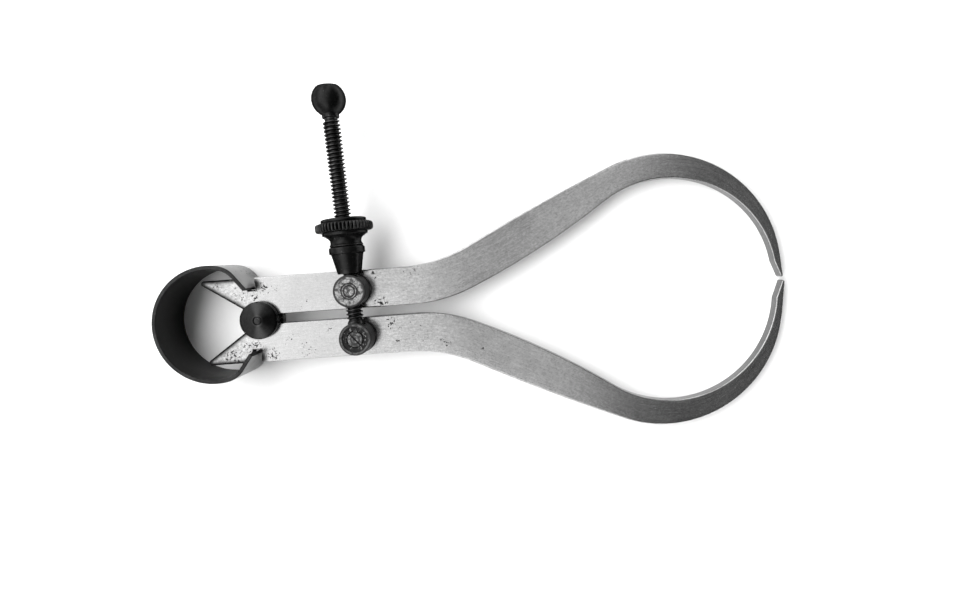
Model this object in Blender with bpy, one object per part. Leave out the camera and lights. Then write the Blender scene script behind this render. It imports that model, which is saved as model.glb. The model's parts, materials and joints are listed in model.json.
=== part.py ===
"""Outside spring caliper, 150 mm from the fulcrum to the tips.

Two flat legs turn on a grooved fulcrum stud.  A flat C-shaped bow spring sits in a notch in
each leg and opens the legs; a screw between two swivel posts closes them, with a knurled nut.

Frame: metres, +Z up.  The origin is the centre of the fulcrum stud's flat underside.  +X runs
from the fulcrum to the tips, +Y towards the leg that carries the knurled nut.
"""

import math

import bmesh
import bpy
from mathutils import Vector

MM = 0.001

# Overall layout
CLEARANCE = 0.3 * MM              # between neighbouring pieces
HAIR_GAP = 0.15 * MM              # between a face and the edge that bears on it

# Legs
LEG_BOTTOM_Z = 2.4 * MM
LEG_THICKNESS = 3.2 * MM
LEG_TOP_Z = LEG_BOTTOM_Z + LEG_THICKNESS
LEG_OUTER_Y = 12.3 * MM           # outer edge of the straight part
LEG_INNER_Y = 1.35 * MM           # inner edge of the straight part
EDGE_ROUND = 0.35 * MM
OUTER_BOW = (116.0 * MM, 4.9 * MM, 34.1 * MM)     # centre x, centre y, radius
INNER_BOW = (118.0 * MM, 1.6 * MM, 30.3 * MM)
OUTER_BEND = (42.0 * MM, 27.0)    # where the straight ends, and the bend in degrees
OUTER_BEND_RADIUS = 40.8 * MM
OUTER_BOW_HEADING = 22.7          # slope of the outer edge where the round bow starts
INNER_BEND = (44.5 * MM, 23.25)
INNER_BEND_RADIUS = 43.0 * MM
INNER_BOW_HEADING = 34.5
TIP_RADIUS = 0.45 * MM

# Tips: reach along X, height of the tip's end, length of the slanted nib, and the angle on the
# outer bow where the straighter last stretch starts.  Heights are measured towards the leg's
# own side.  The tips meet a little above the middle line, 1 mm apart.
TIP_UPPER = (150.45 * MM, 1.6 * MM, 4.6 * MM, 8.0)
TIP_LOWER = (150.85 * MM, -0.6 * MM, 5.0 * MM, 10.0)

# Tails behind the fulcrum
TAIL_ANGLE = 146.0                # direction of the tail's inner edge, seen from the fulcrum
TAIL_RADIUS = 0.8 * MM            # rounding of the tail's point

# Spring notch in the outer edge of each leg
NOTCH_RIGHT_X = -0.7 * MM
NOTCH_BOTTOM_Y = 8.6 * MM
NOTCH_WIDTH = 2.3 * MM
NOTCH_RIGHT_LEAN = 97.0           # directions of the notch's two walls
NOTCH_LEFT_LEAN = 121.0

# Fulcrum
ROLLER_RADIUS = 4.6 * MM
FULCRUM_HEAD_RADIUS = 5.4 * MM
FULCRUM_FLANGE_TOP_Z = 1.9 * MM
FULCRUM_SHANK_RADIUS = 2.4 * MM
FULCRUM_RIVET_RADIUS = 1.05 * MM
FULCRUM_CAP_THICKNESS = 2.3 * MM
FULCRUM_CAP_CROWN = 0.5 * MM

# Swivel posts
POST_RADIUS = 4.5 * MM
POST_UPPER = (27.97 * MM, 6.7 * MM)
POST_LOWER = (28.43 * MM, -6.7 * MM)
POST_TOP_Z = 13.5 * MM
POST_STEM_RADIUS = 2.4 * MM
WASHER_THICKNESS = 0.55 * MM
TOP_WASHER_RADIUS = 4.7 * MM
UNDER_WASHER_RADIUS = 4.2 * MM
RIVET_HEAD_RADIUS = 3.3 * MM
RIVET_HEAD_BOTTOM_Z = 0.35 * MM

# Adjusting screw, measured along its axis from the lower post
SCREW_Z = 9.9 * MM
SCREW_CREST_RADIUS = 2.38 * MM
SCREW_ROOT_RADIUS = 1.75 * MM
SCREW_PITCH = 25.4 / 24 * MM
SCREW_TURNS = 52
SCREW_STEPS = 12
THREAD_START = 4.7 * MM
SHANK_START = -4.1 * MM
SHANK_RADIUS = 2.25 * MM
BALL_CENTRE = 66.3 * MM
BALL_RADIUS = 4.7 * MM
BALL_FLAT = 3.5 * MM              # ball centre to its flat end
BALL_RIVET_RADIUS = 1.2 * MM
ANCHOR_PIN_RADIUS = 1.0 * MM
ANCHOR_HEAD_RADIUS = 2.1 * MM
BORE_RADIUS = SCREW_CREST_RADIUS + 0.32 * MM

# Nut and thrust sleeve, measured along the screw from the upper post
SLEEVE_START = POST_RADIUS + 0.35 * MM
SLEEVE_END = 12.35 * MM
SLEEVE_COLLAR = 1.85 * MM
NUT_START = 12.65 * MM
KNURL_RADIUS = 7.95 * MM
KNURL_DEPTH = 0.45 * MM
KNURL_TEETH = 36

# Bow spring
SPRING_CENTRE_X = -11.8 * MM
SPRING_MID_RADIUS = 16.05 * MM
SPRING_THICKNESS = 1.15 * MM
SPRING_WIDTH = 15.9 * MM
SPRING_END_BEND_RADIUS = 7.0 * MM
SPRING_END = (-1.56 * MM, 9.25 * MM)
SPRING_END_HEADING = -53.0        # direction in which the strip runs into the notch
SPRING_EDGE_ROUND = 0.2 * MM

ROUND_STEPS = 28
WASHER_STEPS = 24


# ---------------------------------------------------------------- small geometry helpers

def polar(centre, radius, degrees):
    """Point on a circle."""
    angle = math.radians(degrees)
    return (centre[0] + radius * math.cos(angle), centre[1] + radius * math.sin(angle))


def arc_to(points, end, turn, steps):
    """Add a circular arc from the last point to end that turns left by turn degrees."""
    start = points[-1]
    chord = Vector(end) - Vector(start)
    half = math.radians(turn) / 2
    radius = chord.length / (2 * math.sin(half))
    heading = math.atan2(chord.y, chord.x) - half
    centre = Vector(start) + radius * Vector((-math.sin(heading), math.cos(heading)))
    spoke = Vector(start) - centre
    for step in range(1, steps):
        angle = 2 * half * step / steps
        points.append((
            centre.x + spoke.x * math.cos(angle) - spoke.y * math.sin(angle),
            centre.y + spoke.x * math.sin(angle) + spoke.y * math.cos(angle),
        ))
    points.append(tuple(end))


def inset(outline, distance):
    """Move each corner of a counter-clockwise outline inwards, square to both its edges."""
    moved = []
    for index, point in enumerate(outline):
        before = (Vector(point) - Vector(outline[index - 1])).normalized()
        after = (Vector(outline[(index + 1) % len(outline)]) - Vector(point)).normalized()
        inward = Vector((-before.y - after.y, before.x + after.x)).normalized()
        square = max(inward.dot(Vector((-before.y, before.x))), 0.5)
        moved.append(tuple(Vector(point) + inward * distance / square))
    return moved


def finish_mesh(name, bm, smooth_angle=30.0):
    """Turn a bmesh into an object with outward faces and soft shading."""
    bmesh.ops.recalc_face_normals(bm, faces=bm.faces)
    mesh = bpy.data.meshes.new(name)
    bm.to_mesh(mesh)
    bm.free()
    mesh.shade_smooth()
    mesh.set_sharp_from_angle(angle=math.radians(smooth_angle))
    item = bpy.data.objects.new(name, mesh)
    bpy.context.collection.objects.link(item)
    return item


def bridge_rings(bm, lower, upper):
    """Join two closed rings of vertices with quads; a ring of one vertex is a point."""
    count = max(len(lower), len(upper))
    for step in range(count):
        here, there = step, (step + 1) % count
        corners = [lower[here % len(lower)], lower[there % len(lower)],
                   upper[there % len(upper)], upper[here % len(upper)]]
        face = []
        for corner in corners:
            if corner not in face:
                face.append(corner)
        bm.faces.new(face)


def plate(name, outline, bottom, top, edge_round):
    """Flat plate with rounded edges, from an outline seen from above."""
    half = edge_round * 0.3
    layers = [
        (bottom, edge_round), (bottom + half, half), (bottom + edge_round, 0.0),
        (top - edge_round, 0.0), (top - half, half), (top, edge_round),
    ]
    bm = bmesh.new()
    rings = []
    for height, distance in layers:
        ring = [bm.verts.new((x, y, height)) for x, y in inset(outline, distance)]
        if rings:
            bridge_rings(bm, rings[-1], ring)
        rings.append(ring)
    bm.faces.new(rings[-1])
    bm.faces.new(list(reversed(rings[0])))
    return finish_mesh(name, bm)


def turned(name, profile, steps=ROUND_STEPS, closed=False, ripple=None):
    """Solid turned about Z from (radius, height) points.

    A closed profile makes a ring; an open one starts and ends on the axis.  ripple gives the
    change of radius for a profile point and a step, for knurling.
    """
    bm = bmesh.new()
    rings = []
    for row, (radius, height) in enumerate(profile):
        if radius == 0.0:
            rings.append([bm.verts.new((0.0, 0.0, height))])
            continue
        ring = []
        for step in range(steps):
            angle = 2 * math.pi * step / steps
            reach = radius - (ripple(row, step) if ripple else 0.0)
            ring.append(bm.verts.new((reach * math.cos(angle), reach * math.sin(angle), height)))
        rings.append(ring)
    for lower, upper in zip(rings, rings[1:]):
        bridge_rings(bm, lower, upper)
    if closed:
        bridge_rings(bm, rings[-1], rings[0])
    return finish_mesh(name, bm)


def cutter(name, radius, depth, steps=ROUND_STEPS):
    """Cylinder about Z that only cuts other pieces."""
    tool = turned(name, [(0.0, -depth / 2), (radius, -depth / 2), (radius, depth / 2),
                         (0.0, depth / 2)], steps)
    tool.hide_render = True
    tool.display_type = "WIRE"
    return tool


def cut(item, tool):
    """Take the tool's volume out of the item."""
    modifier = item.modifiers.new("cut_" + tool.name, "BOOLEAN")
    modifier.operation = "DIFFERENCE"
    modifier.solver = "EXACT"
    modifier.object = tool


def pivot(name, place, parent=None, turn=0.0):
    """Empty on a joint's axis."""
    empty = bpy.data.objects.new(name, None)
    empty.empty_display_size = 5 * MM
    bpy.context.collection.objects.link(empty)
    empty.parent = parent
    offset = Vector(parent["world_place"]) if parent else Vector()
    empty.location = Vector(place) - offset
    empty.rotation_euler = (0.0, 0.0, turn)
    empty["world_place"] = tuple(place)
    return empty


def paint(item, name, color, roughness, metallic):
    """Give the item its material, made once for each name."""
    material = bpy.data.materials.get(name)
    if material is None:
        material = bpy.data.materials.new(name)
        material.use_nodes = True
        shader = material.node_tree.nodes["Principled BSDF"]
        shader.inputs["Base Color"].default_value = (*color, 1.0)
        shader.inputs["Roughness"].default_value = roughness
        shader.inputs["Metallic"].default_value = metallic
    item.data.materials.clear()
    item.data.materials.append(material)


def ground_steel(item):
    paint(item, "ground_steel", (0.62, 0.62, 0.61), 0.32, 1.0)


def blued_steel(item):
    paint(item, "blued_steel", (0.045, 0.045, 0.05), 0.42, 0.9)


def black_oxide(item):
    paint(item, "black_oxide", (0.03, 0.03, 0.032), 0.5, 0.8)


def worn_steel(item):
    paint(item, "worn_steel", (0.4, 0.4, 0.4), 0.38, 1.0)


# ---------------------------------------------------------------- legs and spring

def leg_outline(tip):
    """Outline of the leg on the +Y side, counter-clockwise from the fulcrum seat."""
    reach, tip_end, nib, last_stretch = tip
    seat = ROLLER_RADIUS + CLEARANCE
    seat_start = math.degrees(math.asin(LEG_INNER_Y / seat))
    points = [polar((0, 0), seat, seat_start)]

    bend_x, bend_turn = INNER_BEND
    turn = math.radians(bend_turn)
    points.append((bend_x, LEG_INNER_Y))
    bend_end = (bend_x + INNER_BEND_RADIUS * math.sin(turn),
                LEG_INNER_Y + INNER_BEND_RADIUS * (1 - math.cos(turn)))
    arc_to(points, bend_end, bend_turn, 5)
    bow_start = polar(INNER_BOW, INNER_BOW[2], 90 + INNER_BOW_HEADING)
    arc_to(points, bow_start, INNER_BOW_HEADING - bend_turn, 6)
    nib_y = tip_end + nib
    nib_angle = math.degrees(math.asin((nib_y - INNER_BOW[1]) / INNER_BOW[2]))
    nib_start = polar(INNER_BOW, INNER_BOW[2], nib_angle)
    arc_to(points, nib_start, nib_angle - 90 - INNER_BOW_HEADING, 26)

    tip_x = reach - TIP_RADIUS
    tip_y = tip_end + TIP_RADIUS
    points.append((tip_x - 0.8 * TIP_RADIUS, tip_y - 0.6 * TIP_RADIUS))
    points.append((tip_x, tip_y - TIP_RADIUS))
    points.append((tip_x + 0.7 * TIP_RADIUS, tip_y - 0.7 * TIP_RADIUS))
    points.append((reach, tip_y))

    bend_x, bend_turn = OUTER_BEND
    turn = math.radians(bend_turn)
    bow_start = polar(OUTER_BOW, OUTER_BOW[2], last_stretch)
    bow_end = polar(OUTER_BOW, OUTER_BOW[2], 90 + OUTER_BOW_HEADING)
    chord_slant = math.degrees(math.atan2(reach - bow_start[0], bow_start[1] - tip_y))
    arc_to(points, bow_start, 2 * (last_stretch - chord_slant), 4)
    arc_to(points, bow_end, 90 + OUTER_BOW_HEADING - last_stretch, 26)
    bend_end = (bend_x + OUTER_BEND_RADIUS * math.sin(turn),
                LEG_OUTER_Y + OUTER_BEND_RADIUS * (1 - math.cos(turn)))
    arc_to(points, bend_end, bend_turn - OUTER_BOW_HEADING, 4)
    arc_to(points, (bend_x, LEG_OUTER_Y), -bend_turn, 6)

    depth = LEG_OUTER_Y - NOTCH_BOTTOM_Y
    right_run = depth / math.tan(math.radians(NOTCH_RIGHT_LEAN))
    left_run = depth / math.tan(math.radians(NOTCH_LEFT_LEAN))
    left_x = NOTCH_RIGHT_X - NOTCH_WIDTH
    points.append((NOTCH_RIGHT_X + right_run, LEG_OUTER_Y))
    points.append((NOTCH_RIGHT_X, NOTCH_BOTTOM_Y))
    points.append((left_x, NOTCH_BOTTOM_Y))
    points.append((left_x + left_run, LEG_OUTER_Y))

    slant = math.radians(180 - TAIL_ANGLE)
    tail_y = LEG_OUTER_Y - TAIL_RADIUS
    tail_x = -(tail_y + TAIL_RADIUS / math.cos(slant)) / math.tan(slant)
    centre = (tail_x + 2 * TAIL_RADIUS / math.sin(slant), tail_y)
    points.append(polar(centre, TAIL_RADIUS, 90))
    arc_to(points, polar(centre, TAIL_RADIUS, 270 - math.degrees(slant)),
           180 - math.degrees(slant), 6)
    points.append(polar((0, 0), seat, TAIL_ANGLE))
    arc_to(points, points[0], seat_start - TAIL_ANGLE, 12)
    return points[:-1]


def make_leg(name, side, tip, post, parent):
    """One leg; side is +1 for the leg at +Y and -1 for the one at -Y."""
    outline = [(x, side * y) for x, y in leg_outline(tip)]
    if side < 0:
        outline.reverse()
    leg = plate(name, outline, LEG_BOTTOM_Z, LEG_TOP_Z, EDGE_ROUND)
    leg.parent = parent
    hole = cutter(name + "_post_hole", POST_STEM_RADIUS + CLEARANCE, 4 * LEG_THICKNESS)
    hole.parent = parent
    hole.location = (*post, LEG_BOTTOM_Z + LEG_THICKNESS / 2)
    cut(leg, hole)
    ground_steel(leg)
    return leg


def spring_centre_line():
    """Middle of the strip from the back of the spring to its end at +Y."""
    normal = Vector(polar((0, 0), 1.0, SPRING_END_HEADING + 90))
    bend = SPRING_END_BEND_RADIUS
    reach = SPRING_MID_RADIUS - bend
    offset = Vector(SPRING_END).dot(normal) - bend - SPRING_CENTRE_X * normal.x
    leave = SPRING_END_HEADING + 90 + math.degrees(math.acos(offset / reach))
    points = [(SPRING_CENTRE_X - SPRING_MID_RADIUS, 0.0)]
    arc_to(points, polar((SPRING_CENTRE_X, 0), SPRING_MID_RADIUS, leave), leave - 180, 20)
    bend_centre = polar((SPRING_CENTRE_X, 0), reach, leave)
    bend_end = polar(bend_centre, bend, SPRING_END_HEADING + 90)
    arc_to(points, bend_end, SPRING_END_HEADING + 90 - leave, 6)
    points.append(SPRING_END)
    return points


def make_spring(parent):
    """Flat strip bent to a C, standing on edge and centred on the legs' thickness."""
    half = spring_centre_line()
    line = [(x, -y) for x, y in reversed(half)] + half[1:]
    faces = ([], [])
    for index, point in enumerate(line):
        before = line[max(index - 1, 0)]
        after = line[min(index + 1, len(line) - 1)]
        run = (Vector(after) - Vector(before)).normalized()
        side = Vector((-run.y, run.x)) * SPRING_THICKNESS / 2
        faces[0].append(tuple(Vector(point) + side))
        faces[1].append(tuple(Vector(point) - side))
    outline = faces[1] + list(reversed(faces[0]))
    middle = LEG_BOTTOM_Z + LEG_THICKNESS / 2
    spring = plate("bow_spring", outline, middle - SPRING_WIDTH / 2,
                   middle + SPRING_WIDTH / 2, SPRING_EDGE_ROUND)
    spring.parent = parent
    blued_steel(spring)
    return spring


# ---------------------------------------------------------------- fulcrum

def make_fulcrum(parent):
    """Flanged stud from below, a roller between the legs and a crowned cap on top."""
    cap_z = LEG_TOP_Z + CLEARANCE
    rim_z = cap_z + FULCRUM_CAP_THICKNESS
    crown_z = rim_z + FULCRUM_CAP_CROWN
    chamfer = 0.35 * MM
    head = FULCRUM_HEAD_RADIUS
    stud = turned("fulcrum_stud", [
        (0.0, 0.0), (head - chamfer, 0.0), (head, chamfer),
        (head, FULCRUM_FLANGE_TOP_Z - chamfer), (head - chamfer, FULCRUM_FLANGE_TOP_Z),
        (FULCRUM_SHANK_RADIUS, FULCRUM_FLANGE_TOP_Z), (FULCRUM_SHANK_RADIUS, LEG_TOP_Z),
        (FULCRUM_RIVET_RADIUS, LEG_TOP_Z), (FULCRUM_RIVET_RADIUS, crown_z), (0.0, crown_z),
    ])
    roller_bottom = FULCRUM_FLANGE_TOP_Z + CLEARANCE
    bore = FULCRUM_SHANK_RADIUS + CLEARANCE
    roller = turned("fulcrum_roller", [
        (bore, roller_bottom), (ROLLER_RADIUS - HAIR_GAP, roller_bottom),
        (ROLLER_RADIUS, roller_bottom + HAIR_GAP), (ROLLER_RADIUS, LEG_TOP_Z - HAIR_GAP),
        (ROLLER_RADIUS - HAIR_GAP, LEG_TOP_Z), (bore, LEG_TOP_Z),
    ], closed=True)
    hole = FULCRUM_RIVET_RADIUS + CLEARANCE
    cap = turned("fulcrum_cap", [
        (hole, cap_z), (head - chamfer, cap_z), (head, cap_z + chamfer),
        (head, rim_z - chamfer), (head - chamfer, rim_z), (hole, crown_z),
    ], steps=40, closed=True)
    for item in (stud, roller, cap):
        item.parent = parent
        black_oxide(item)


# ---------------------------------------------------------------- swivel posts

def washer(name, bore, radius, bottom, thickness, parent):
    """Flat washer."""
    item = turned(name, [
        (bore, bottom), (radius, bottom), (radius, bottom + thickness),
        (bore, bottom + thickness),
    ], steps=WASHER_STEPS, closed=True)
    item.parent = parent
    black_oxide(item)


def post_profile(body_bottom, top_profile):
    """Riveted stem below the leg, the body above it, and the given top from the rim inwards."""
    stem = POST_STEM_RADIUS
    under_z = LEG_BOTTOM_Z - CLEARANCE - WASHER_THICKNESS - CLEARANCE
    edge = 0.3 * MM
    return [
        (0.0, RIVET_HEAD_BOTTOM_Z), (RIVET_HEAD_RADIUS * 0.7, RIVET_HEAD_BOTTOM_Z),
        (RIVET_HEAD_RADIUS, RIVET_HEAD_BOTTOM_Z + edge), (RIVET_HEAD_RADIUS, under_z),
        (stem, under_z), (stem, body_bottom), (POST_RADIUS - edge, body_bottom),
        (POST_RADIUS, body_bottom + edge), (POST_RADIUS, POST_TOP_Z - edge),
        (POST_RADIUS - edge, POST_TOP_Z),
    ] + top_profile


def make_post(name, top_profile, parent, lean):
    """Swivel post with its cross bore, a washer on the leg and one under it."""
    washer_z = LEG_TOP_Z + CLEARANCE
    body_bottom = washer_z + WASHER_THICKNESS + CLEARANCE
    post = turned(name, post_profile(body_bottom, top_profile))
    post.parent = parent
    bore = cutter(name + "_bore", BORE_RADIUS, 4 * POST_RADIUS)
    bore.parent = parent
    bore.location = (0.0, 0.0, SCREW_Z)
    bore.rotation_euler = (-math.pi / 2, 0.0, lean)
    cut(post, bore)
    black_oxide(post)
    bore_radius = POST_STEM_RADIUS + CLEARANCE
    washer(name + "_washer", bore_radius, TOP_WASHER_RADIUS, washer_z, WASHER_THICKNESS, parent)
    under_z = LEG_BOTTOM_Z - CLEARANCE - WASHER_THICKNESS
    washer(name + "_rivet_washer", bore_radius, UNDER_WASHER_RADIUS, under_z,
           WASHER_THICKNESS, parent)


def make_anchor_screw(parent):
    """Slotted screw in the lower post whose point pins the adjusting screw."""
    head_bottom = POST_TOP_Z - 0.45 * MM
    head_top = POST_TOP_Z - 0.1 * MM
    point_z = SCREW_Z - 1.5 * MM
    edge = 0.1 * MM
    anchor = turned("anchor_screw", [
        (0.0, point_z), (ANCHOR_PIN_RADIUS * 0.6, point_z),
        (ANCHOR_PIN_RADIUS, point_z + 0.4 * MM), (ANCHOR_PIN_RADIUS, head_bottom),
        (ANCHOR_HEAD_RADIUS, head_bottom), (ANCHOR_HEAD_RADIUS, head_top - edge),
        (ANCHOR_HEAD_RADIUS - edge, head_top), (0.0, head_top),
    ], steps=24)
    anchor.parent = parent
    bm = bmesh.new()
    bmesh.ops.create_cube(bm, size=1.0)
    bmesh.ops.scale(bm, vec=(6 * MM, 0.55 * MM, 0.44 * MM), verts=bm.verts)
    slot = finish_mesh("anchor_screw_slot", bm)
    slot.hide_render = True
    slot.display_type = "WIRE"
    slot.parent = parent
    slot.location = (0.0, 0.0, head_top)
    slot.rotation_euler = (0.0, 0.0, math.radians(-50))
    cut(anchor, slot)
    worn_steel(anchor)


def make_posts(upper_parent, lower_parent, lean):
    """Upper post: ring groove round a centre boss.  Lower post: recess for the anchor screw."""
    groove_floor = POST_TOP_Z - 0.3 * MM
    make_post("post_upper", [
        (2.05 * MM, POST_TOP_Z), (1.95 * MM, groove_floor), (1.45 * MM, groove_floor),
        (1.35 * MM, POST_TOP_Z), (0.0, POST_TOP_Z),
    ], upper_parent, lean)
    recess = POST_TOP_Z - 0.25 * MM
    counterbore = POST_TOP_Z - 0.6 * MM
    pin_hole = ANCHOR_PIN_RADIUS + CLEARANCE
    make_post("post_lower", [
        (3.65 * MM, POST_TOP_Z), (3.55 * MM, recess), (ANCHOR_HEAD_RADIUS + CLEARANCE, recess),
        (ANCHOR_HEAD_RADIUS + CLEARANCE, counterbore), (pin_hole, counterbore),
        (pin_hole, SCREW_Z), (0.0, SCREW_Z),
    ], lower_parent, lean)
    make_anchor_screw(lower_parent)


# ---------------------------------------------------------------- screw, nut and ball

def make_adjusting_screw(parent, lean):
    """Screw with a plain shank, a V thread worked out as a helix, a neck and a riveted end."""
    neck_start = THREAD_START + (SCREW_TURNS + 1) * SCREW_PITCH
    rivet_start = BALL_CENTRE - BALL_RADIUS * 0.75
    rivet_end = BALL_CENTRE + BALL_FLAT
    steps = SCREW_STEPS
    bm = bmesh.new()

    def spot(radius, height, step):
        angle = 2 * math.pi * step / steps
        return bm.verts.new((radius * math.cos(angle), radius * math.sin(angle), height))

    def ring(radius, height):
        return [spot(radius, height, step) for step in range(steps)]

    roots, crests = [], []
    for step in range(steps * (SCREW_TURNS + 1) + 1):
        height = THREAD_START + SCREW_PITCH * step / steps
        roots.append(spot(SCREW_ROOT_RADIUS, height, step))
        if step <= steps * SCREW_TURNS:
            crests.append(spot(SCREW_CREST_RADIUS, height + SCREW_PITCH / 2, step))
    for step in range(steps * SCREW_TURNS):
        bm.faces.new((roots[step], roots[step + 1], crests[step + 1], crests[step]))
        upper = step + steps
        bm.faces.new((crests[step], crests[step + 1], roots[upper + 1], roots[upper]))

    shank = ring(SHANK_RADIUS, THREAD_START - 0.3 * MM)
    neck = ring(SCREW_ROOT_RADIUS, neck_start + 0.3 * MM)
    for step in range(steps):
        after = (step + 1) % steps
        last = steps * SCREW_TURNS + step
        bm.faces.new((shank[step], shank[after], roots[step + 1], roots[step]))
        bm.faces.new((roots[last], roots[last + 1], neck[after], neck[step]))
    bm.faces.new((shank[0], roots[0], crests[0], roots[steps]))
    bm.faces.new((roots[-1 - steps], crests[-1], roots[-1], neck[0]))

    foot = ring(SHANK_RADIUS, SHANK_START)
    bridge_rings(bm, foot, shank)
    bm.faces.new(list(reversed(foot)))
    last_ring = neck
    for radius, height in ((SCREW_ROOT_RADIUS, rivet_start - CLEARANCE),
                           (BALL_RIVET_RADIUS, rivet_start - CLEARANCE),
                           (BALL_RIVET_RADIUS, rivet_end)):
        next_ring = ring(radius, height)
        bridge_rings(bm, last_ring, next_ring)
        last_ring = next_ring
    bm.faces.new(last_ring)

    screw = finish_mesh("adjusting_screw", bm)
    place_on_screw(screw, parent, 0.0, lean)
    pin_hole = cutter("adjusting_screw_pin_hole", ANCHOR_PIN_RADIUS + CLEARANCE,
                      4 * SCREW_CREST_RADIUS, steps=24)
    pin_hole.parent = parent
    pin_hole.location = (0.0, 0.0, SCREW_Z)
    cut(screw, pin_hole)
    black_oxide(screw)


def place_on_screw(item, parent, distance, lean):
    """Lay a piece that was turned about Z along the screw, a distance from the post."""
    item.parent = parent
    item.rotation_euler = (-math.pi / 2, 0.0, lean)
    item.location = (-distance * math.sin(lean), distance * math.cos(lean), SCREW_Z)


def make_ball(parent, lean):
    """Ball that stops the nut, with a short collar towards the thread and a flat far end."""
    hole = BALL_RIVET_RADIUS + CLEARANCE
    collar = 2.35 * MM
    near = -math.degrees(math.acos(collar / BALL_RADIUS))
    far = math.degrees(math.asin(BALL_FLAT / BALL_RADIUS))
    profile = [(hole, -BALL_RADIUS * 0.75), (hole, BALL_FLAT)]
    count = 12
    for step in range(count + 1):
        profile.append(polar((0, 0), BALL_RADIUS, far + (near - far) * step / count))
    profile.append((collar, -BALL_RADIUS - 0.35 * MM))
    profile.append((SCREW_ROOT_RADIUS + CLEARANCE, -BALL_RADIUS - 0.35 * MM))
    profile.append((SCREW_ROOT_RADIUS + CLEARANCE, -BALL_RADIUS * 0.75))
    ball = turned("ball_stop", profile, steps=28, closed=True)
    place_on_screw(ball, parent, BALL_CENTRE, lean)
    black_oxide(ball)


def make_thrust_sleeve(parent, lean):
    """Cone that bears on the upper post, with a collar and a tapered socket for the nut."""
    start, end = SLEEVE_START, SLEEVE_END
    collar_start = end - SLEEVE_COLLAR
    sleeve = turned("thrust_sleeve", [
        (BORE_RADIUS, start), (3.3 * MM, start), (3.45 * MM, start + 0.2 * MM),
        (4.45 * MM, collar_start - 0.1 * MM), (4.9 * MM, collar_start),
        (4.95 * MM, collar_start + 0.2 * MM), (4.95 * MM, end - 0.3 * MM),
        (4.75 * MM, end), (3.75 * MM, end), (3.3 * MM, end - 3.1 * MM),
        (BORE_RADIUS, end - 3.1 * MM),
    ], closed=True)
    place_on_screw(sleeve, parent, 0.0, lean)
    black_oxide(sleeve)


def make_nut(parent, lean):
    """Knurled nut: nose in the sleeve, waist, flange, knurled rim and a thin outer flange."""
    start = NUT_START
    nose = start - 2.8 * MM
    profile = [
        (BORE_RADIUS, nose), (3.0 * MM, nose), (3.4 * MM, start),
        (4.5 * MM, start), (4.65 * MM, start + 0.35 * MM), (4.35 * MM, start + 0.8 * MM),
        (4.3 * MM, start + 1.5 * MM), (4.6 * MM, start + 2.2 * MM),
        (5.4 * MM, start + 2.9 * MM), (6.25 * MM, start + 3.3 * MM),
        (6.3 * MM, start + 4.0 * MM), (7.3 * MM, start + 4.15 * MM),
        (KNURL_RADIUS, start + 4.6 * MM), (KNURL_RADIUS, start + 6.1 * MM),
        (7.3 * MM, start + 6.6 * MM), (6.1 * MM, start + 6.75 * MM),
        (6.2 * MM, start + 7.4 * MM), (5.9 * MM, start + 7.75 * MM),
        (3.1 * MM, start + 7.75 * MM), (BORE_RADIUS, start + 7.4 * MM),
    ]
    knurl_rows = [row for row, point in enumerate(profile) if point[0] == KNURL_RADIUS]

    def knurl(row, step):
        return KNURL_DEPTH if row in knurl_rows and step % 2 else 0.0

    nut = turned("knurled_nut", profile, steps=2 * KNURL_TEETH, closed=True, ripple=knurl)
    place_on_screw(nut, parent, 0.0, lean)
    black_oxide(nut)


# ---------------------------------------------------------------- assembly

def main():
    for item in list(bpy.data.objects):
        bpy.data.objects.remove(item, do_unlink=True)

    span_x = POST_UPPER[0] - POST_LOWER[0]
    span_y = POST_UPPER[1] - POST_LOWER[1]
    lean = math.atan2(-span_x, span_y)

    fulcrum = pivot("fulcrum_axis", (0.0, 0.0, 0.0))
    leg_upper_axis = pivot("leg_upper_axis", (0.0, 0.0, 0.0), fulcrum)
    leg_lower_axis = pivot("leg_lower_axis", (0.0, 0.0, 0.0), fulcrum)
    spring_slide = pivot("spring_slide", (0.0, 0.0, 0.0), fulcrum)
    post_upper_axis = pivot("post_upper_axis", (*POST_UPPER, 0.0), leg_upper_axis)
    post_lower_axis = pivot("post_lower_axis", (*POST_LOWER, 0.0), leg_lower_axis)

    make_leg("leg_upper", 1, TIP_UPPER, POST_UPPER, leg_upper_axis)
    make_leg("leg_lower", -1, TIP_LOWER, POST_LOWER, leg_lower_axis)
    make_spring(spring_slide)
    make_fulcrum(fulcrum)
    make_posts(post_upper_axis, post_lower_axis, lean)
    make_adjusting_screw(post_lower_axis, lean)
    make_ball(post_lower_axis, lean)
    make_thrust_sleeve(post_upper_axis, lean)
    make_nut(post_upper_axis, lean)


main()
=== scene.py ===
"""Looks of the outside spring caliper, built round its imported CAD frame.

Every CAD node is a faceted solid.  Each gets a finer piece here, with rounded edges, a real
thread and knurl, and a material of its own: brushed steel legs with pitting, a blued spring,
and turned, blackened steel for the rest.
"""

import json
import math

import bmesh
import bpy
from mathutils import Matrix, Vector


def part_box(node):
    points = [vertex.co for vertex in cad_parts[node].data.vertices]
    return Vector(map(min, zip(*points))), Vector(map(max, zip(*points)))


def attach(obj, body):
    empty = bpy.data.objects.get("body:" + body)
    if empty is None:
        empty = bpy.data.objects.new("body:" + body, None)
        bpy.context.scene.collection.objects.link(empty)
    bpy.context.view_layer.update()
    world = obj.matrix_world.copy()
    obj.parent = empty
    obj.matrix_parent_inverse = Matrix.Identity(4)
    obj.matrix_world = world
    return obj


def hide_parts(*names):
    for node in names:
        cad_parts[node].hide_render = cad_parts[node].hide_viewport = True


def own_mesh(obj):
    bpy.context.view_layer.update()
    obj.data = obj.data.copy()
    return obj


MM = 0.001

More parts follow.
